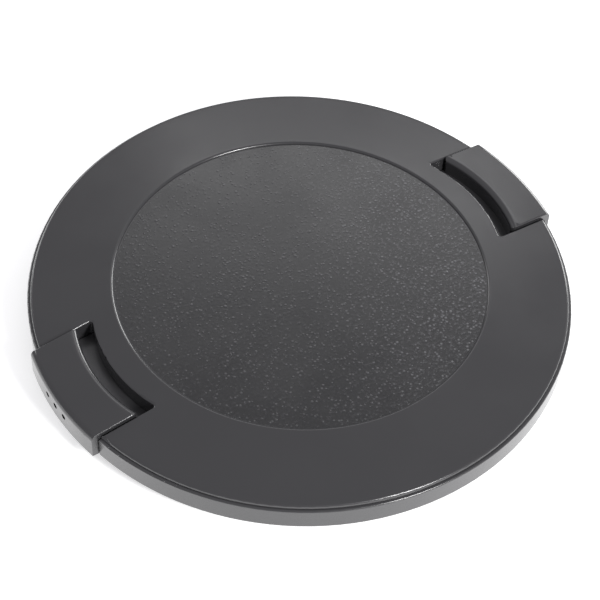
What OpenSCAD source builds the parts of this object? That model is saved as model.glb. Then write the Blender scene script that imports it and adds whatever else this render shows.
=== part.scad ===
// Clip-on lens cap: a round moulded cover, a back plate and two sprung latches
// The outer face looks up (+Z), the latches slide along X, and the spigot stands on z = 0

/* [Cap] */
// Filter thread of the lens that the cap clips into
thread_d = 77; // [67:5:82]
// Width of the rim outside the thread, on the radius
rim_w = 1.5; // [1.2:0.1:2]
// Height from the end of the spigot to the outer edge of the ring
cap_h = 6.4; // [6.3:0.1:7]
// Height of the outer wall that stays outside the lens
wall_h = 4; // [3.8:0.1:4.2]
// Thickness of the cover
cover_t = 1.5; // [1.3:0.1:1.6]
// Rise of the sloping ring, from its outer edge to the textured centre
ring_rise = 1.2; // [0.8:0.1:1.3]
// Radius of the textured centre, as a share of the cap's radius
centre_share = 0.687; // [0.6:0.001:0.7]
// Depth of the textured centre below the ring
centre_depth = 0.38; // [0.2:0.02:0.5]
// Drop of the rounded edge around the ring
rim_round = 0.45; // [0.3:0.05:0.6]

/* [Buttons] */
// Width of each button across the cap
button_w = 17.6; // [14:0.4:20]
// Length of each button along its slide, measured in the middle
button_l = 6.7; // [6.2:0.05:7.2]
// Length of a whole latch, from its button's outer face to the springs
latch_l = 15; // [14.4:0.1:15.4]
// How far each button stands out of the cap's outer wall
button_out = 0.9; // [0.6:0.05:1.1]
// How far each button stands above the ring
button_up = 0.5; // [0.3:0.05:0.7]
// Radius of the bowed inner edge of a button and of its pocket
bow_r = 23.4; // [20:0.2:30]
// Rounding along the inner top edge of a button
inner_round = 0.8; // [0.5:0.05:0.9]
// Rounding along the outer top edge of a button
outer_round = 1; // [0.6:0.05:1.1]
// Rounding along the side edges of a button
side_round = 0.25; // [0.1:0.05:0.5]
// Radius of the two inner corners of a button, seen from above
button_corner = 0.6; // [0.4:0.05:0.8]
// Radius of the two inner corners of a pocket
pocket_corner = 0.4; // [0.3:0.05:1]
// Depth of a pocket's floor below the outer edge of the ring
pocket_floor = 1.95; // [1.8:0.05:2.05]
// How far a button travels inward
travel = 2.2; // [1.8:0.1:2.4]
// Distance between the three dimples on a button's outer face
dimple_pitch = 2.3; // [1.5:0.1:3]
// Drop of the dimples below the outer edge of the ring
dimple_drop = 1.65; // [1.5:0.05:2]

/* [Springs] */
// Outer diameter of a latch spring
spring_d = 2.6; // [2.4:0.1:2.6]
// Diameter of the spring wire
wire_d = 0.3; // [0.2:0.02:0.34]
// Fitted length of a spring
spring_l = 12; // [10:0.5:12.5]
// Coils that take up the load, besides one closed coil at each end
active_coils = 8; // [5:1:9]

/* [Fits] */
// Gap at each side of a button in its pocket
side_gap = 0.2; // [0.15:0.01:0.3]
// Running gap above and below a latch
slide_gap = 0.1; // [0.08:0.01:0.15]
// Play left at each end of the travel
end_gap = 0.1; // [0.08:0.01:0.2]
// Gap around a stake in its hole, on the radius
stake_gap = 0.1; // [0.05:0.01:0.15]
// Gap around the back plate, on the radius
plate_gap = 0.3; // [0.2:0.05:0.4]

/* [Hidden] */
$fn = 96;

black = [0.13, 0.13, 0.14];
dark_grey = [0.2, 0.2, 0.21];
steel = [0.72, 0.73, 0.75];
past = 1; // how far a cutter reaches past what it cuts

// Cover
cap_r = thread_d / 2 + rim_w;
seat_z = cap_h - wall_h;
under_z = cap_h - cover_t; // underside at the spigot
centre_r = cap_r * centre_share;
ring_r = cap_r - 0.45; // outer edge of the ring
slope = ring_rise / (ring_r - centre_r);
lip_z = cap_h + ring_rise; // top of the ring around the textured centre
step_z = cap_h - rim_round - 0.13; // small step between the ring and the wall
wall_round = 0.25;
wall_t = 1.3;
spigot_r = thread_d / 2 - 0.7;
spigot_t = 1.3;
spigot_in = spigot_r - spigot_t;
centre_under = under_z + slope * (spigot_in - centre_r);
root_z = centre_under + 0.15; // ribs reach up to here, into the cover

// Back plate
plate_z = 0.3;
plate_t = 1.2;
plate_top = plate_z + plate_t;
plate_r = spigot_in - plate_gap;
head_depth = 0.6;

// Button and its pocket
button_r = cap_r + button_out;
button_in = button_r - button_l; // middle of the bowed inner edge
button_bottom = seat_z + 0.1;
pocket_in = button_in - travel - 0.3;
pocket_hw = button_w / 2 + side_gap;
mouth_round = 0.25;
skin = 1.3; // wall thickness of the hollow button
core_z = ring_z(button_r) + button_up - skin;
core_hw = button_w / 2 - skin;
dimple_d = 0.6;
dimple_depth = 0.5;
dimple_z = cap_h - dimple_drop;

// Slide under the cover
slide_top = cap_h - pocket_floor;
ceiling_z = slide_top + slide_gap;
slide_t = 1.2;
slide_bottom = slide_top - slide_t;
foot_z = plate_top + slide_gap;
slide_in = button_r - latch_l; // inner end of a latch
end_wall_t = 1.2;
runner_w = 1.4;
ear_w = 2.5;
ear_l = 4;
stop_x = slide_in + ear_l + end_gap;
rail_w = 1;
rail_y = button_w / 2 + ear_w + side_gap;
guide_w = 1.2;
notch_x = pocket_in + 1.6; // where the back plate is cut away for the thread grip

// Thread grip below each button
thread_pitch = 0.75;
grip_r = thread_d / 2 - 0.5;
grip_in = grip_r - 1.1;
crest_r = thread_d / 2 - 0.08;
grip_inset = 2; // the grip is this much narrower than the button at each side
grip_hw = button_w / 2 - grip_inset;
ridges = floor((seat_z - 0.15) / thread_pitch + 0.01);
grip_z = seat_z - ridges * thread_pitch + 0.05;

// Springs lie halfway between the back plate and the ceiling over the slides
spring_z = (plate_top + ceiling_z) / 2;
spring_y = 5;
seat_x = slide_in - spring_l;
seat_t = 1.2;
seat_hw = 7.5;
peg_d = spring_d - 2 * wire_d - 0.4;
peg_l = 1.2;
rib_w = 1.2;
rib_h = 2;

// Stakes that hold the back plate
stake_d = 2;
stake_head_d = 3.8;
boss_d = 4.5;
stake_ring = spigot_in - 6.5;
stake_places = concat([[0, 0]], [
    for (a = [60, 90, 120, 240, 270, 300]) stake_ring * [cos(a), sin(a)]
]);

// Height of the ring's sloping face at a radius
function ring_z(r) = cap_h + slope * (ring_r - r);

// Shape from (x0, y0) to (x1, y1) with its upper right corner rounded; its top rises by k per mm leftward
module round_right(x0, x1, y0, y1, k, r) {
    mid = [x1 - r, y1 + k * r - r * sqrt(1 + k * k)];
    touch = mid + r * [k, 1] / sqrt(1 + k * k);
    polygon([[x0, y0], [x1, y0], [x1, mid.y], mid, touch, [x0, y1 + k * (x1 - x0)]]);
    translate(mid) circle(r);
}

// The same with its upper left corner rounded, at (x0, y0) to (x1, y1), and its top falling by k per mm
module round_left(x0, x1, y0, y1, k, r) {
    translate([x0 + x1, 0]) mirror([1, 0]) round_right(x0, x1, y0, y1, -k, r);
}

// Fillet that widens a cutter's upper right corner from (x, y - r) to (x + r, y)
module mouth(x, y, r) {
    difference() {
        translate([x - r, y - r]) square([2 * r, r + past]);
        translate([x + r, y - r]) circle(r);
    }
}

// Runs a profile in Y and Z along X
module along_x(x0, x1) {
    translate([x0, 0, 0]) rotate([90, 0, 90]) linear_extrude(x1 - x0) children();
}

// Box from one corner to the opposite one
module block(a, b) {
    translate(a) cube(b - a);
}

// Lays children that run along X, with their top at z = 0, on the ring's slope at (x, y)
module on_slope(x, y, up) {
    r = norm([x, y]);
    translate([x, 0, ring_z(r) + up]) rotate([0, atan(slope * x / r), 0]) children();
}

// Children on both sides of the slide's axis
module both_sides() {
    children();
    mirror([0, 1, 0]) children();
}

// Children at both ends of the cap
module both_ends() {
    children();
    rotate([0, 0, 180]) children();
}

// Section of the cover: textured centre, sloping ring with soft edges, outer wall and spigot
module cover_section() {
    difference() {
        union() {
            translate([0, under_z]) square([centre_r + past, lip_z - centre_depth - under_z]);
            round_right(centre_r + 1, ring_r, under_z, cap_h, slope, rim_round);
            round_left(centre_r, ring_r - 1, under_z, lip_z, slope, centre_depth);
        }
        polygon([
            [0, 0], [spigot_in, 0], [spigot_in, under_z], [centre_r, centre_under], [0, centre_under]
        ]);
    }
    round_right(cap_r - wall_t, cap_r, seat_z, step_z, 0, wall_round);
    translate([spigot_in, 0]) square([spigot_t, under_z + 0.2]);
}

// Wedge beside the round corner where a bow around (bow_x, 0) meets a side; children cut it round
module corner_wedge(bow_x, half_w, r, z0, z1) {
    reach = r - 0.01; // a hair short, so that the rounding meets both walls cleanly
    side_y = half_w - reach;
    mid = [bow_x + sqrt(pow(bow_r + reach, 2) - side_y * side_y), side_y];
    inward = ([bow_x, 0] - mid) / norm([bow_x, 0] - mid);
    difference() {
        translate([0, 0, z0]) linear_extrude(z1 - z0) polygon([
            mid, [mid.x, half_w + past], [mid.x - 3 * past, half_w + past], mid + 2 * past * inward
        ]);
        translate([mid.x, mid.y, 0]) rotate_extrude() children();
    }
}

// Space for one button: bowed at its inner end, open at the rim, with softened edges
module pocket() {
    bow_x = pocket_in - bow_r;
    middle = (pocket_in + cap_r) / 2;
    edge_z = ring_z(pocket_in) + 0.03;
    difference() {
        intersection() {
            translate([bow_x, 0, 0]) rotate_extrude() {
                translate([bow_r, -past]) square([bow_r, lip_z + 2 * past]);
                translate([2 * bow_r, 0]) mirror([1, 0]) mouth(bow_r, edge_z, mouth_round);
            }
            on_slope(middle, pocket_hw + mouth_round, 0) along_x(-middle, button_r) {
                translate([-pocket_hw, -2 * cap_h]) square([2 * pocket_hw, 2 * cap_h + 3 * past]);
                mouth(pocket_hw, 0, mouth_round);
                mirror([1, 0]) mouth(pocket_hw, 0, mouth_round);
            }
        }
        both_sides() corner_wedge(bow_x, pocket_hw, pocket_corner, -2 * past, lip_z + 2 * past) {
            translate([0, -3 * past]) square([pocket_corner, lip_z + 6 * past]);
            mouth(pocket_corner, edge_z, mouth_round);
        }
    }
}

// Ribs under the cover that guide one latch, carry it and stop it at the end of its outward travel
module latch_guides() {
    rib_in = slide_in - travel - 0.6;
    rib_hw = rail_y + rail_w;
    intersection() {
        cylinder(h = root_z, r = spigot_in + 0.2);
        union() {
            both_sides() {
                block([stop_x, pocket_hw, plate_top], [spigot_r, pocket_hw + guide_w, root_z]);
                block([stop_x, pocket_hw, plate_top], [stop_x + rail_w, rib_hw, root_z]);
                block([rib_in, rail_y, plate_top], [stop_x + rail_w, rib_hw, root_z]);
            }
            difference() {
                block([rib_in, -rib_hw, ceiling_z], [spigot_r, rib_hw, root_z]);
                block([rib_in + 1.2, 1.2 - pocket_hw, 0], [pocket_in - 3.3, pocket_hw - 1.2, cap_h]);
            }
        }
    }
}

// Wall with two pegs that the inner ends of one pair of springs push against
module spring_seat() {
    block([seat_x - seat_t, -seat_hw, plate_top], [seat_x, seat_hw, root_z]);
    both_sides() translate([seat_x - 0.5, spring_y, spring_z])
        rotate([0, 90, 0]) cylinder(h = peg_l + 0.5, d = peg_d);
    block([0, -rib_w / 2, centre_under - rib_h], [seat_x - seat_t + 0.5, rib_w / 2, root_z]);
}

// Boss, pin and melted head that hold the back plate at one place
module stake() {
    translate([0, 0, plate_top]) cylinder(h = root_z - plate_top, d = boss_d);
    translate([0, 0, plate_z + 0.2]) cylinder(h = root_z - plate_top, d = stake_d);
    translate([0, 0, plate_z + 0.15]) cylinder(h = head_depth - 0.15, d = stake_head_d);
}

module front_cover() {
    color(black) difference() {
        union() {
            rotate_extrude() cover_section();
            for (p = stake_places) translate(p) stake();
            both_ends() {
                latch_guides();
                spring_seat();
            }
        }
        both_ends() pocket();
    }
}

module back_plate() {
    color(dark_grey) difference() {
        translate([0, 0, plate_z]) cylinder(h = plate_t, r = plate_r);
        both_ends() block(
            [notch_x, -pocket_hw - 0.1, plate_z - past],
            [cap_r, pocket_hw + 0.1, plate_top + past]
        );
        for (p = stake_places) translate([p.x, p.y, plate_z]) {
            translate([0, 0, -past]) cylinder(h = plate_t + 2 * past, d = stake_d + 2 * stake_gap);
            translate([0, 0, -past]) cylinder(h = head_depth + past, d = stake_head_d + 2 * stake_gap);
        }
    }
}

// Outer form of a button: three round-edged bands meet, so every top edge has a true rounding
module button_form() {
    half_w = button_w / 2;
    bow_x = button_in - bow_r;
    middle = (button_in + button_r) / 2;
    inner_z = ring_z(button_in + inner_round) + button_up - 0.02;
    difference() {
        intersection() {
            rotate_extrude() round_right(
                0, button_r, button_bottom, ring_z(button_r) + button_up, slope, outer_round
            );
            translate([bow_x, 0, 0]) rotate_extrude()
                round_left(bow_r, 2 * bow_r, button_bottom - past, inner_z, 0, inner_round);
            on_slope(middle, half_w - side_round, button_up - 0.02) along_x(-middle, button_r) {
                button_side();
                mirror([1, 0]) button_side();
            }
        }
        both_sides() corner_wedge(bow_x, half_w, button_corner, 0, lip_z + past)
            translate([0, -past]) square([button_corner, lip_z + 3 * past]);
    }
}

// Right half of a button's section across the slide, with its top sloping up to the middle
module button_side() {
    round_right(0, button_w / 2, -2 * cap_h, 0.045 * side_round, 0.045, side_round);
}

// Section of the thread grip: a wall with ridges that fit the filter thread
module grip_section() {
    translate([grip_in, grip_z]) square([grip_r - grip_in, core_z + 0.3 - grip_z]);
    for (i = [0 : ridges - 1]) translate([grip_r, grip_z + (i + 0.5) * thread_pitch - 0.05])
        polygon([[-0.2, -0.3], [0, -0.3], [crest_r - grip_r, -0.06], [crest_r - grip_r, 0.06], [0, 0.3], [-0.2, 0.3]]);
}

// Hollows under a button, on both sides of the grip's wall
module button_cores() {
    intersection() {
        rotate_extrude() {
            translate([button_in + skin, 0]) square([grip_in - button_in - skin, core_z]);
            translate([grip_r, 0]) square([button_r - skin - grip_r, core_z]);
        }
        block([button_in - 1, -core_hw, 0], [button_r, core_hw, core_z]);
    }
}

module dimples() {
    for (i = [-1 : 1]) translate([button_r - dimple_depth, i * dimple_pitch, dimple_z])
        rotate([0, 90, 0]) cylinder(h = dimple_depth + past, d = dimple_d);
}

// One moulding: button, slide with two runners, ears, end wall with spring pegs, thread grip
module latch() {
    half_w = button_w / 2;
    color(black) {
        difference() {
            button_form();
            button_cores();
            dimples();
        }
        block([slide_in, -half_w, slide_bottom], [button_in + skin, half_w, slide_top]);
        block([slide_in, -half_w, foot_z], [slide_in + end_wall_t, half_w, slide_top]);
        both_sides() {
            block([slide_in, half_w - runner_w, foot_z], [notch_x - 0.1, half_w, slide_top]);
            block([slide_in, half_w - 0.5, foot_z], [slide_in + ear_l, half_w + ear_w, slide_top]);
            translate([slide_in - peg_l, spring_y, spring_z])
                rotate([0, 90, 0]) cylinder(h = peg_l + 0.5, d = peg_d);
        }
        intersection() {
            rotate_extrude() grip_section();
            block([grip_in - 5, -grip_hw, 0], [button_r, grip_hw, core_z + 0.3]);
        }
    }
}

module latch_right() {
    latch();
}

module latch_left() {
    rotate([0, 0, 180]) latch();
}

// Compression spring along X from the cover's seat to the latch: closed coils at both ends
module coil_spring() {
    steps = 14;
    sides = 6;
    wire_r = wire_d / 2;
    mean_r = spring_d / 2 - wire_r;
    closed = 1.04 * wire_d;
    open = (spring_l - wire_d - 0.04 - 2 * closed) / active_coils;
    turns = active_coils + 2;
    function place(t) = t < 1 ? closed * t
        : t < turns - 1 ? closed + open * (t - 1)
        : closed + open * active_coils + closed * (t - turns + 1);
    rings = turns * steps;
    points = [
        for (i = [0 : rings], k = [0 : sides - 1])
            let (
                t = i / steps,
                a = 360 * t,
                b = 360 * k / sides,
                r = mean_r + wire_r * cos(b)
            )
            [seat_x + 0.02 + wire_r + place(t) + wire_r * sin(b), r * cos(a), r * sin(a)]
    ];
    sleeve = [
        for (i = [0 : rings - 1], k = [0 : sides - 1])
            let (m = (k + 1) % sides, lo = i * sides, hi = (i + 1) * sides)
            [lo + k, lo + m, hi + m, hi + k]
    ];
    first_end = [for (k = [sides - 1 : -1 : 0]) k];
    last_end = [for (k = [0 : sides - 1]) rings * sides + k];
    color(steel) polyhedron(points, concat([first_end], sleeve, [last_end]), convexity = 8);
}

module spring_right_upper() {
    translate([0, spring_y, spring_z]) coil_spring();
}

module spring_right_lower() {
    translate([0, -spring_y, spring_z]) coil_spring();
}

module spring_left_upper() {
    rotate([0, 0, 180]) spring_right_lower();
}

module spring_left_lower() {
    rotate([0, 0, 180]) spring_right_upper();
}

front_cover();
back_plate();
latch_right();
latch_left();
spring_right_upper();
spring_right_lower();
spring_left_upper();
spring_left_lower();
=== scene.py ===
import math

import bmesh
import bpy
import numpy as np
from mathutils import Matrix, Vector


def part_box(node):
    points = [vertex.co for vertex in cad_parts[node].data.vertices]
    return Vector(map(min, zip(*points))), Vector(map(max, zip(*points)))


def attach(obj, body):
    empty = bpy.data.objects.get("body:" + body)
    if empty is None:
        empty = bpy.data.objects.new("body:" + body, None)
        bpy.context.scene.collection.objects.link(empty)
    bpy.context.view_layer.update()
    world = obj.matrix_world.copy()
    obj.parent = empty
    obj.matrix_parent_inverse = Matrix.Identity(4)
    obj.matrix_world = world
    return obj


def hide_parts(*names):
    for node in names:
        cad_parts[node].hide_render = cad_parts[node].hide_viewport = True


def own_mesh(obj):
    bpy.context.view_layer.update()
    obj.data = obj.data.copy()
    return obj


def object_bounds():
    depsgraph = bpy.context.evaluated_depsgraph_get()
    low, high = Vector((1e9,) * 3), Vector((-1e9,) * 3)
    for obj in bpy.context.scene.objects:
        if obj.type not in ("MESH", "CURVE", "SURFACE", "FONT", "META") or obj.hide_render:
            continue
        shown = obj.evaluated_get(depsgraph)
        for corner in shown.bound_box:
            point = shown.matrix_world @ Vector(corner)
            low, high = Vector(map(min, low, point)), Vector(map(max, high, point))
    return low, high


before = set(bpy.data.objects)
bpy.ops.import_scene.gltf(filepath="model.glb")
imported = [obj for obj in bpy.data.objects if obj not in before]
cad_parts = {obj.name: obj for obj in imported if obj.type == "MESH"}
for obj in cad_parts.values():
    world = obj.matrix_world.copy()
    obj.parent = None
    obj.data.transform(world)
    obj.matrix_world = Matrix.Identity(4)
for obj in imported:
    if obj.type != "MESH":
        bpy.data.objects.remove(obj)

# Clip-on lens cap: satin moulded plastic, a pebbled centre and two sprung side buttons.
# The frame's +Z comes out of the cap's outer face and the buttons slide along X.

mm = 0.001
ringRise = 1.16 * mm   # from the outer edge of the sloping ring to the cover's highest point
cadLow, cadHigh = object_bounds()
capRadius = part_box("front_cover")[1].y
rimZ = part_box("front_cover")[1].z - ringRise
scene = bpy.context.scene
scene.view_settings.view_transform = "Standard"
print("frame loaded, cap radius", round(capRadius / mm, 2), "mm")


# Camera, solved from the rim, ring and button outlines of the reference view.
# Lengths are in cap radii, angles in degrees, and the picture is taken as 600 by 600.
camera = {
    "picture": 600,
    "focal": 1749.0,           # in pixels
    "distance": 6.44,          # to the middle of the rim
    "elevation": 49.97,
    "turn": 35.8,              # how far the right button is turned away from the picture's right
    "roll": -3.14,
    "middle": (300.7, 280.9),  # where the middle of the rim falls
    "sensor": 36,              # mm
    "clip": (0.01, 20),        # m
}


def makeCamera(s):
    # right, up and back are the rolled camera's axes, before it is turned round the cap
    elevation, roll, turn = (math.radians(s[k]) for k in ("elevation", "roll", "turn"))
    sinE, cosE = math.sin(elevation), math.cos(elevation)
    sinR, cosR = math.sin(roll), math.cos(roll)
    right = Vector((cosR, -sinR * sinE, -sinR * cosE))
    up = Vector((sinR, cosR * sinE, cosR * cosE))
    back = Vector((0, -cosE, sinE))
    half = s["picture"] / 2
    distance = s["distance"] * capRadius
    aside = (s["middle"][0] - half) / s["focal"] * distance
    below = (s["middle"][1] - half) / s["focal"] * distance
    place = back * distance - right * aside + up * below
    turned = Matrix.Rotation(-turn, 3, "Z")
    axes = Matrix((turned @ right, turned @ up, turned @ back)).transposed()
    data = bpy.data.cameras.new("camera")
    data.sensor_width = s["sensor"]
    data.lens = s["focal"] / s["picture"] * s["sensor"]
    data.clip_start, data.clip_end = s["clip"]
    obj = bpy.data.objects.new("camera", data)
    scene.collection.objects.link(obj)
    aim = Matrix.Translation(turned @ place + Vector((0, 0, rimZ)))
    obj.matrix_world = aim @ axes.to_4x4()
    scene.camera = obj


makeCamera(camera)


# Small shader helpers. A value is a number or colour, or another node's output.
def feed(tree, value, socket):
    if isinstance(value, bpy.types.NodeSocket):
        tree.links.new(value, socket)
    else:
        socket.default_value = value


def mathNode(tree, operation, *values):
    node = tree.nodes.new("ShaderNodeMath")
    node.operation = operation
    for value, socket in zip(values, node.inputs):
        feed(tree, value, socket)
    return node.outputs[0]


def mapRange(tree, value, fromLow, fromHigh, toLow=0.0, toHigh=1.0):
    node = tree.nodes.new("ShaderNodeMapRange")
    node.interpolation_type = "SMOOTHSTEP"
    feed(tree, value, node.inputs["Value"])
    feed(tree, fromLow, node.inputs["From Min"])
    feed(tree, fromHigh, node.inputs["From Max"])
    feed(tree, toLow, node.inputs["To Min"])
    feed(tree, toHigh, node.inputs["To Max"])
    return node.outputs["Result"]


def flatLength(tree, a, b):
    aa = mathNode(tree, "MULTIPLY", a, a)
    bb = mathNode(tree, "MULTIPLY", b, b)
    return mathNode(tree, "SQRT", mathNode(tree, "ADD", aa, bb))


def inMillimetres(tree, vector):
    node = tree.nodes.new("ShaderNodeVectorMath")
    node.operation = "SCALE"
    feed(tree, vector, node.inputs[0])
    feed(tree, 1 / mm, node.inputs["Scale"])
    return node.outputs[0]


def splitVector(tree, vector):
    node = tree.nodes.new("ShaderNodeSeparateXYZ")
    feed(tree, vector, node.inputs[0])
    return node.outputs


def noise(tree, vector, scale, detail, roughness):
    node = tree.nodes.new("ShaderNodeTexNoise")
    feed(tree, vector, node.inputs["Vector"])
    feed(tree, scale, node.inputs["Scale"])
    feed(tree, detail, node.inputs["Detail"])
    feed(tree, roughness, node.inputs["Roughness"])
    return node.outputs["Fac"]


def mixColour(tree, share, first, second):
    node = tree.nodes.new("ShaderNodeMix")
    node.data_type = "RGBA"
    feed(tree, share, node.inputs["Factor"])
    feed(tree, first, node.inputs["A"])
    feed(tree, second, node.inputs["B"])
    return node.outputs["Result"]


def bump(tree, height, distance, strength=1.0, before=None):
    node = tree.nodes.new("ShaderNodeBump")
    feed(tree, height, node.inputs["Height"])
    feed(tree, distance, node.inputs["Distance"])
    feed(tree, strength, node.inputs["Strength"])
    if before is not None:
        feed(tree, before, node.inputs["Normal"])
    return node.outputs["Normal"]


# Floor and light. Azimuth 0 is behind the cap as the camera sees it, and 90 to its right.
# Angles are in degrees and lengths in metres. A card's level is its brightness.
studio = {
    "floorColour": (0.86, 0.86, 0.86, 1),
    "floorRoughness": 0.9,
    "floorRadius": 6.0,
    "floorGap": 0.02 * mm,    # keeps the floor off the faces that stand on it
    "cameraGlow": 0.55,       # lifts the floor to white as seen, and leaves the shadow in it
    "mirrorGlow": 1.0,        # the same in reflections
    "worldColour": (0.5, 0.497, 0.518, 1),
    "cards": [
        {"name": "backRightCard", "azimuth": 35, "elevation": 12,
         "distance": 0.6, "size": (0.3, 0.2), "level": 8.0},
        {"name": "backLeftCard", "azimuth": -46, "elevation": 18,
         "distance": 0.6, "size": (0.16, 0.26), "level": 3.5},
        {"name": "highCard", "azimuth": 3, "elevation": 41,
         "distance": 0.7, "size": (0.34, 0.19), "level": 1.5},
        {"name": "rightCard", "azimuth": 137, "elevation": 34,
         "distance": 0.5, "size": (0.1, 0.12), "level": 62.0},
    ],
}


def makeFloor(s):
    radius, level = s["floorRadius"], cadLow[2] - s["floorGap"]
    corners = [(x * radius, y * radius, level) for x, y in ((-1, -1), (1, -1), (1, 1), (-1, 1))]
    mesh = bpy.data.meshes.new("floor")
    mesh.from_pydata(corners, [], [(0, 1, 2, 3)])
    floor = bpy.data.objects.new("floor", mesh)
    scene.collection.objects.link(floor)
    material = bpy.data.materials.new("paleFloor")
    material.use_nodes = True
    tree = material.node_tree
    surface = tree.nodes["Principled BSDF"]
    surface.inputs["Base Color"].default_value = s["floorColour"]
    surface.inputs["Roughness"].default_value = s["floorRoughness"]
    surface.inputs["Specular IOR Level"].default_value = 0.0
    # the glow shows to the camera and in reflections only, so the cap gets no more light from it
    path = tree.nodes.new("ShaderNodeLightPath").outputs
    mirrored = mathNode(tree, "MAXIMUM", path["Is Glossy Ray"], path["Is Transmission Ray"])
    seenGlow = mathNode(tree, "MULTIPLY", path["Is Camera Ray"], s["cameraGlow"])
    mirroredGlow = mathNode(tree, "MULTIPLY", mirrored, s["mirrorGlow"])
    surface.inputs["Emission Color"].default_value = (1, 1, 1, 1)
    glow = mathNode(tree, "MAXIMUM", seenGlow, mirroredGlow)
    feed(tree, glow, surface.inputs["Emission Strength"])
    mesh.materials.append(material)


def makeCards(s, turn):
    around = Matrix.Rotation(-math.radians(turn), 3, "Z")
    for card in s["cards"]:
        width, height = card["size"]
        data = bpy.data.lights.new(card["name"], "AREA")
        data.shape, data.size, data.size_y = "RECTANGLE", width, height
        data.energy = card["level"] * math.pi * width * height
        lamp = bpy.data.objects.new(card["name"], data)
        scene.collection.objects.link(lamp)
        azimuth, elevation = math.radians(card["azimuth"]), math.radians(card["elevation"])
        flat = math.cos(elevation)
        away = Vector((math.sin(azimuth) * flat, math.cos(azimuth) * flat, math.sin(elevation)))
        away = around @ away
        lamp.location = away * card["distance"]
        lamp.rotation_mode = "QUATERNION"
        lamp.rotation_quaternion = away.to_track_quat("Z", "Y")


def makeWorld(s):
    world = bpy.data.worlds.new("studio")
    scene.world = world
    world.use_nodes = True
    background = world.node_tree.nodes["Background"]
    background.inputs["Color"].default_value = s["worldColour"]
    background.inputs["Strength"].default_value = 1.0


makeFloor(studio)
makeCards(studio, camera["turn"])
makeWorld(studio)
print("camera, floor and light placed")


# Node groups shared by the plastics. Lengths go in as millimetres.
def newGroup(name, inputs, outputs):
    group = bpy.data.node_groups.new(name, "ShaderNodeTree")
    for label, kind, value in inputs:
        socket = group.interface.new_socket(name=label, in_out="INPUT", socket_type=kind)
        if value is not None:
            socket.default_value = value
    for label, kind in outputs:
        group.interface.new_socket(name=label, in_out="OUTPUT", socket_type=kind)
    return group, group.nodes.new("NodeGroupInput"), group.nodes.new("NodeGroupOutput")


def placeGroup(tree, group, values):
    node = tree.nodes.new("ShaderNodeGroup")
    node.node_tree = group
    for label, value in values.items():
        feed(tree, value, node.inputs[label])
    return node.outputs


# Satin tool finish: a very fine grain, and broad soft patches where handling has polished it
mouldGrainShape = {
    "grainSize": 0.12,          # mm, where a material gives no size of its own
    "patchSize": 9.0,
    "grainNoise": (2.0, 0.6),   # a noise's detail and roughness
    "patchNoise": (3.0, 0.55),
}


def makeMouldGrain(s):
    group, start, end = newGroup(
        "mouldGrain",
        inputs=[
            ("Vector", "NodeSocketVector", None),
            ("Grain Size", "NodeSocketFloat", s["grainSize"]),
            ("Patch Size", "NodeSocketFloat", s["patchSize"]),
        ],
        outputs=[
            ("Height", "NodeSocketFloat"),
            ("Patches", "NodeSocketFloat"),
        ],
    )
    point = inMillimetres(group, start.outputs["Vector"])
    grainScale = mathNode(group, "DIVIDE", 1.0, start.outputs["Grain Size"])
    patchScale = mathNode(group, "DIVIDE", 1.0, start.outputs["Patch Size"])
    feed(group, noise(group, point, grainScale, *s["grainNoise"]), end.inputs["Height"])
    feed(group, noise(group, point, patchScale, *s["patchNoise"]), end.inputs["Patches"])
    return group


# Eroded tool texture: a fine rough ground with small raised specks, denser in some patches
pebbleShape = {
    "speckSize": 0.4,            # mm, where a material gives no size of its own
    "share": 0.5,                # the same for the share of cells with a speck
    "patchScale": 0.16,          # patches to a millimetre
    "patchNoise": (2.0, 0.6),    # a noise's detail and roughness
    "patchGain": 0.8,            # how much a patch adds to the share, or takes from it
    "chosen": (0.9, 1.2),        # a cell's speck grows to full height over this range of its sum
    "leastRadius": 0.25,         # in cells
    "radiusSpread": 0.25,
    "flank": (1.0, 0.2),         # from a speck's foot to its top, in its own radii
    "groundScale": 1.2,          # grains of the ground to a speck
    "groundNoise": (2.0, 0.5),
    "groundHeight": 0.8,         # in heights of a speck
    "crestGlintRange": (0.5, 0.75),      # painted glint: over this range of the ground's height it is painted pale
    "crestGlint": 0.45,              # how pale the painted glint on the raised ground is, a speck being 1
}


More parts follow.
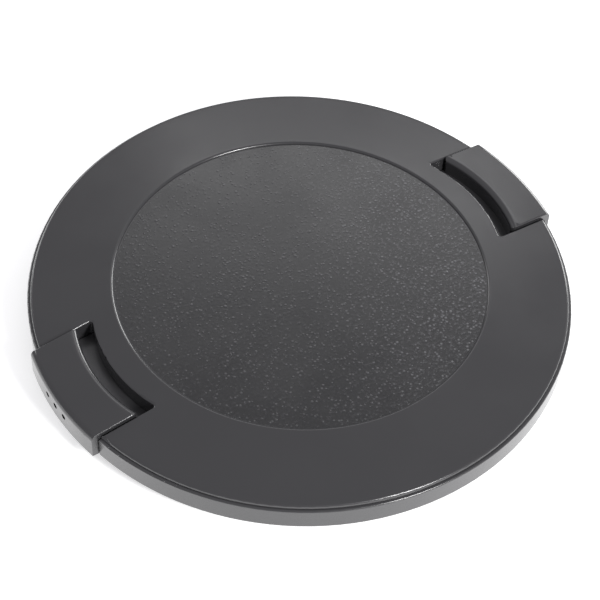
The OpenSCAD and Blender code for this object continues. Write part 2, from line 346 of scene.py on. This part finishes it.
def makePebbles(s):
    group, start, end = newGroup(
        "pebbles",
        inputs=[
            ("Vector", "NodeSocketVector", None),
            ("Speck Size", "NodeSocketFloat", s["speckSize"]),
            ("Share", "NodeSocketFloat", s["share"]),
        ],
        outputs=[
            ("Height", "NodeSocketFloat"),
            ("Specks", "NodeSocketFloat"),
        ],
    )
    point = inMillimetres(group, start.outputs["Vector"])
    frequency = mathNode(group, "DIVIDE", 1.0, start.outputs["Speck Size"])
    cells = group.nodes.new("ShaderNodeTexVoronoi")
    feed(group, point, cells.inputs["Vector"])
    feed(group, frequency, cells.inputs["Scale"])
    pick = group.nodes.new("ShaderNodeSeparateColor")
    feed(group, cells.outputs["Color"], pick.inputs[0])
    # a cell holds a speck where its random number and the share of its patch add up to about 1;
    # a noise is 0.5 on the whole, so half of the gain is taken off again
    patches = noise(group, point, s["patchScale"], *s["patchNoise"])
    gained = mathNode(group, "MULTIPLY", patches, s["patchGain"])
    even = mathNode(group, "SUBTRACT", start.outputs["Share"], s["patchGain"] / 2)
    share = mathNode(group, "ADD", gained, even)
    chosen = mapRange(group, mathNode(group, "ADD", pick.outputs[0], share), *s["chosen"])
    # its radius comes from a second random number
    spread = mathNode(group, "MULTIPLY", pick.outputs[1], s["radiusSpread"])
    radius = mathNode(group, "ADD", spread, s["leastRadius"])
    away = mathNode(group, "DIVIDE", cells.outputs["Distance"], radius)
    specks = mathNode(group, "MULTIPLY", mapRange(group, away, *s["flank"]), chosen)
    groundScale = mathNode(group, "MULTIPLY", frequency, s["groundScale"])
    ground = noise(group, point, groundScale, *s["groundNoise"])
    raised = mathNode(group, "MULTIPLY", ground, s["groundHeight"])
    feed(group, mathNode(group, "ADD", specks, raised), end.inputs["Height"])
    # painted glint: the specks and the raised ground are painted pale, for light caught on their
    # tops
    crestGlint = mathNode(group, "MULTIPLY", mapRange(group, ground, *s["crestGlintRange"]), s["crestGlint"])
    feed(group, mathNode(group, "MAXIMUM", specks, crestGlint), end.inputs["Specks"])
    return group


mouldGrain = makeMouldGrain(mouldGrainShape)
pebbles = makePebbles(pebbleShape)


# Materials. All the plastics share the satin finish.
satin = {
    "colour": (0.031, 0.0305, 0.0325, 1),
    "plateColour": (0.052, 0.052, 0.054, 1),
    "gloss": 0.7,                  # specular level, 0.5 being a plain plastic
    "roughness": (0.19, 0.26),     # polished and dull patches
    "patches": (0.3, 0.7),         # from polished to dull over this range of the noise
    "grain": 0.11,                 # mm
    "grainDepth": 0.0035 * mm,
}


def newMaterial(name):
    material = bpy.data.materials.new(name)
    material.use_nodes = True
    tree = material.node_tree
    where = tree.nodes.new("ShaderNodeTexCoord").outputs["Object"]
    return material, tree, tree.nodes["Principled BSDF"], where


def newSatin(name, colour, s):
    material, tree, surface, where = newMaterial(name)
    surface.inputs["Base Color"].default_value = colour
    grain = placeGroup(tree, mouldGrain, {"Vector": where, "Grain Size": s["grain"]})
    surface.inputs["Specular IOR Level"].default_value = s["gloss"]
    roughness = mapRange(tree, grain["Patches"], *s["patches"], *s["roughness"])
    feed(tree, roughness, surface.inputs["Roughness"])
    grained = bump(tree, grain["Height"], s["grainDepth"])
    feed(tree, grained, surface.inputs["Normal"])
    return material, tree, surface, where, grained


# The cover's pebbled centre: specks painted pale as painted glints on a dark ground, and painted
# paler still towards one side as painted light
centre = {
    "radius": 27.48,               # mm, where it ends
    "edge": 0.25,                  # mm, over which it fades in
    "above": (6.6, 6.8),           # mm, the height over which it starts, so the underside has none
    "speck": 0.58,                 # mm
    "share": 0.68,                 # how many of the cells hold a speck
    "depth": 0.013 * mm,
    "colour": (0.012, 0.0118, 0.0128, 1),
    # painted glint: the specks' pale colour stands in for light caught on them
    "speckGlintColour": (0.085, 0.0845, 0.09, 1),
    "paintedLightAlong": (0.93, -0.37, 0),   # painted light: the specks are painted paler towards this side, as the light falls
    "paintedLightFrom": (-2, 0.38),          # mm along it, and how strong the painted light is there
    "paintedLightTo": (27, 1.6),
}


def makeCoverPlastic(s):
    material, tree, surface, where, grained = newSatin("coverPlastic", satin["colour"], satin)
    point = inMillimetres(tree, where)
    x, y, z = splitVector(tree, point)
    inside = mapRange(tree, flatLength(tree, x, y), s["radius"], s["radius"] - s["edge"])
    pebbled = mathNode(tree, "MULTIPLY", inside, mapRange(tree, z, *s["above"]))
    # painted light: the specks are painted paler along one side of the cover, as the light falls
    # on it
    along = tree.nodes.new("ShaderNodeVectorMath")
    along.operation = "DOT_PRODUCT"
    feed(tree, point, along.inputs[0])
    feed(tree, s["paintedLightAlong"], along.inputs[1])
    (start, least), (end, most) = s["paintedLightFrom"], s["paintedLightTo"]
    shown = mapRange(tree, along.outputs["Value"], start, end, least, most)
    stones = placeGroup(
        tree,
        pebbles,
        {"Vector": where, "Speck Size": s["speck"], "Share": s["share"]},
    )
    # painted glint on the specks, stronger towards the lit side as painted light
    paintedGlint = mathNode(tree, "MULTIPLY", stones["Specks"], shown)
    speckled = mixColour(tree, paintedGlint, s["colour"], s["speckGlintColour"])
    feed(tree, mixColour(tree, pebbled, satin["colour"], speckled), surface.inputs["Base Color"])
    rough = bump(tree, stones["Height"], s["depth"], pebbled, grained)
    feed(tree, rough, surface.inputs["Normal"])
    return material


# Three pin-size dimples on a button's outer face, their insides painted near black as painted
# shade, the dark of small deep holes.
# Lengths are in mm.
dimples = {
    "pitch": 2.3,
    "z": 4.75,
    "rim": 0.3,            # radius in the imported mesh
    "caught": 0.33,        # points this near to a dimple's axis belong to it
    "opened": 0.45,        # radius as dressed
    "paintedShadeRadius": 0.46,      # radius of the painted shade
    "innermost": 40.2,     # from the cap's axis, behind the floor of a dimple
    # painted shade inside the dimples
    "colour": (0.003, 0.003, 0.003, 1),
}


def dimpleShadeMask(tree, where, s):
    # the painted shade: 1 in a small disc round each of the three places y = -pitch, 0, pitch,
    # near the outer face
    x, y, z = splitVector(tree, inMillimetres(tree, where))
    place = mathNode(tree, "ROUND", mathNode(tree, "DIVIDE", y, s["pitch"]))
    aside = mathNode(tree, "SUBTRACT", y, mathNode(tree, "MULTIPLY", place, s["pitch"]))
    away = flatLength(tree, aside, mathNode(tree, "SUBTRACT", z, s["z"]))
    inDisc = mathNode(tree, "LESS_THAN", away, s["paintedShadeRadius"])
    inRow = mathNode(tree, "LESS_THAN", mathNode(tree, "ABSOLUTE", y), 1.5 * s["pitch"])
    atFace = mathNode(tree, "GREATER_THAN", flatLength(tree, x, y), s["innermost"])
    return mathNode(tree, "MULTIPLY", mathNode(tree, "MULTIPLY", inDisc, inRow), atFace)


def makeLatchPlastic(s):
    material, tree, surface, where, _ = newSatin("latchPlastic", satin["colour"], satin)
    mask = dimpleShadeMask(tree, where, s)
    # painted shade: the dimples are coloured near black
    feed(tree, mixColour(tree, mask, satin["colour"], s["colour"]), surface.inputs["Base Color"])
    # painted shade: metallic with a near black colour has no sheen, so the holes stay painted dark
    # in the bright wall
    feed(tree, mask, surface.inputs["Metallic"])
    return material


# Drawn spring wire
steel = {
    "colour": (0.62, 0.63, 0.65, 1),
    "roughness": (0.22, 0.34),
    "patches": (0.3, 0.7),      # range of the noise between the two
    "patchNoise": (6.0, 2.0, 0.5),   # patches to a millimetre, detail and roughness
}


def makeSpringSteel(s):
    material, tree, surface, where = newMaterial("springSteel")
    surface.inputs["Base Color"].default_value = s["colour"]
    surface.inputs["Metallic"].default_value = 1.0
    drawn = noise(tree, inMillimetres(tree, where), *s["patchNoise"])
    feed(tree, mapRange(tree, drawn, *s["patches"], *s["roughness"]), surface.inputs["Roughness"])
    return material


coverPlastic = makeCoverPlastic(centre)
latchPlastic = makeLatchPlastic(dimples)
platePlastic = newSatin("platePlastic", satin["plateColour"], satin)[0]
springSteel = makeSpringSteel(steel)
print("materials made")


# Moulded pieces: a welded copy of each CAD mesh, with true smooth shading over its roundings
moulded = {
    "front_cover": ("cap", coverPlastic, "cover_plastic"),
    "back_plate": ("cap", platePlastic, "plate_plastic"),
    "latch_right": ("right_latch", latchPlastic, "latch_plastic"),
    "latch_left": ("left_latch", latchPlastic, "latch_plastic"),
}
weld = {
    "distance": 0.0001 * mm,
    "crease": math.radians(32),   # a sharper edge stays an edge
}


def openDimples(mesh, s):
    # each dimple is widened to the size seen in the reference view: its points move away from its
    # axis by opened / rim, and in X so that they keep their distance from the cap's axis
    points = np.empty(len(mesh.vertices) * 3)
    mesh.vertices.foreach_get("co", points)
    points = points.reshape(-1, 3) / mm
    x, y, z = points.T
    fromAxis = np.hypot(x, y)
    middle = s["pitch"] * np.clip(np.round(y / s["pitch"]), -1, 1)
    near = (np.hypot(y - middle, z - s["z"]) < s["caught"]) & (fromAxis > s["innermost"])
    grow = s["opened"] / s["rim"]
    newY = np.where(near, middle + (y - middle) * grow, y)
    newZ = np.where(near, s["z"] + (z - s["z"]) * grow, z)
    newX = np.where(near, np.sign(x) * np.sqrt(fromAxis ** 2 - newY ** 2), x)
    mesh.vertices.foreach_set("co", (np.stack([newX, newY, newZ], -1) * mm).ravel())
    mesh.update()
    print("dimples opened", mesh.name, int(near.sum()), "points")


def dressMoulding(node, body, material):
    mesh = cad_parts[node].data.copy()
    mesh.name = node + "_moulding"
    edit = bmesh.new()
    edit.from_mesh(mesh)
    bmesh.ops.remove_doubles(edit, verts=edit.verts, dist=weld["distance"])
    for face in edit.faces:
        face.smooth = True
    for edge in edit.edges:
        edge.smooth = len(edge.link_faces) == 2 and edge.calc_face_angle(0) < weld["crease"]
    edit.to_mesh(mesh)
    edit.free()
    if node.startswith("latch"):
        openDimples(mesh, dimples)
    mesh.materials.clear()
    mesh.materials.append(material)
    piece = bpy.data.objects.new(node + "_moulding", mesh)
    scene.collection.objects.link(piece)
    weighted = piece.modifiers.new("faceWeights", "WEIGHTED_NORMAL")
    weighted.keep_sharp = True
    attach(piece, body)
    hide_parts(node)


for node, (body, material, slot) in moulded.items():
    dressMoulding(node, body, material)
print("mouldings dressed")


# Springs: round wire on a helix, with closed ends
spring = {
    "turns": 10,
    "closed": 1.0,         # closed turns at each end
    "closedPitch": 1.04,   # their rise per turn, in wires
    "wire": 0.3 * mm,
    "stepsPerTurn": 48,
    "sides": 12,
}


def makeSpring(node, s):
    low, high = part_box(node)
    outward = 1 if high.x > 0 else -1
    seat = low.x if outward > 0 else high.x
    middleY, middleZ = (low.y + high.y) / 2, (low.z + high.z) / 2
    length, outer = high.x - low.x, high.y - low.y
    wireR = s["wire"] / 2
    meanR = outer / 2 - wireR
    # the wire rises by about its own width a turn in the closed ends, and evenly between them
    t = np.linspace(0, s["turns"], s["turns"] * s["stepsPerTurn"] + 1)
    endRise = s["closedPitch"] * s["wire"] * s["closed"]
    wholeRise = length - s["wire"]
    rise = np.interp(
        t,
        [0, s["closed"], s["turns"] - s["closed"], s["turns"]],
        [0, endRise, wholeRise - endRise, wholeRise],
    )
    angle = 2 * np.pi * t
    around = 2 * np.pi * np.arange(s["sides"]) / s["sides"]
    # each ring of the wire lies in the plane of the axis and the radius
    ringR = meanR + wireR * np.cos(around)[None, :]
    x = seat + outward * (wireR + rise[:, None] + wireR * np.sin(around)[None, :])
    y = middleY + ringR * np.cos(angle)[:, None] * outward
    z = middleZ + ringR * np.sin(angle)[:, None]
    points = np.stack([x, y, z], -1).reshape(-1, 3)
    rings, sides = len(t), s["sides"]
    i = np.arange(rings - 1)[:, None] * sides
    k = np.arange(sides)[None, :]
    nextK = (k + 1) % sides
    quads = np.stack([i + k, i + nextK, i + sides + nextK, i + sides + k], -1).reshape(-1, 4)
    firstEnd = list(range(sides))[::-1]
    lastEnd = list(range((rings - 1) * sides, rings * sides))
    mesh = bpy.data.meshes.new(node + "_wire")
    mesh.from_pydata(points.tolist(), [], quads.tolist() + [firstEnd, lastEnd])
    edit = bmesh.new()
    edit.from_mesh(mesh)
    bmesh.ops.recalc_face_normals(edit, faces=edit.faces)
    for face in edit.faces:
        face.smooth = len(face.verts) == 4
    edit.to_mesh(mesh)
    edit.free()
    mesh.materials.append(springSteel)
    piece = bpy.data.objects.new(node + "_wire", mesh)
    scene.collection.objects.link(piece)
    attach(piece, "cap")
    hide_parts(node)
    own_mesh(piece)


for side in ("right", "left"):
    for level in ("upper", "lower"):
        makeSpring(f"spring_{side}_{level}", spring)
print("springs wound")
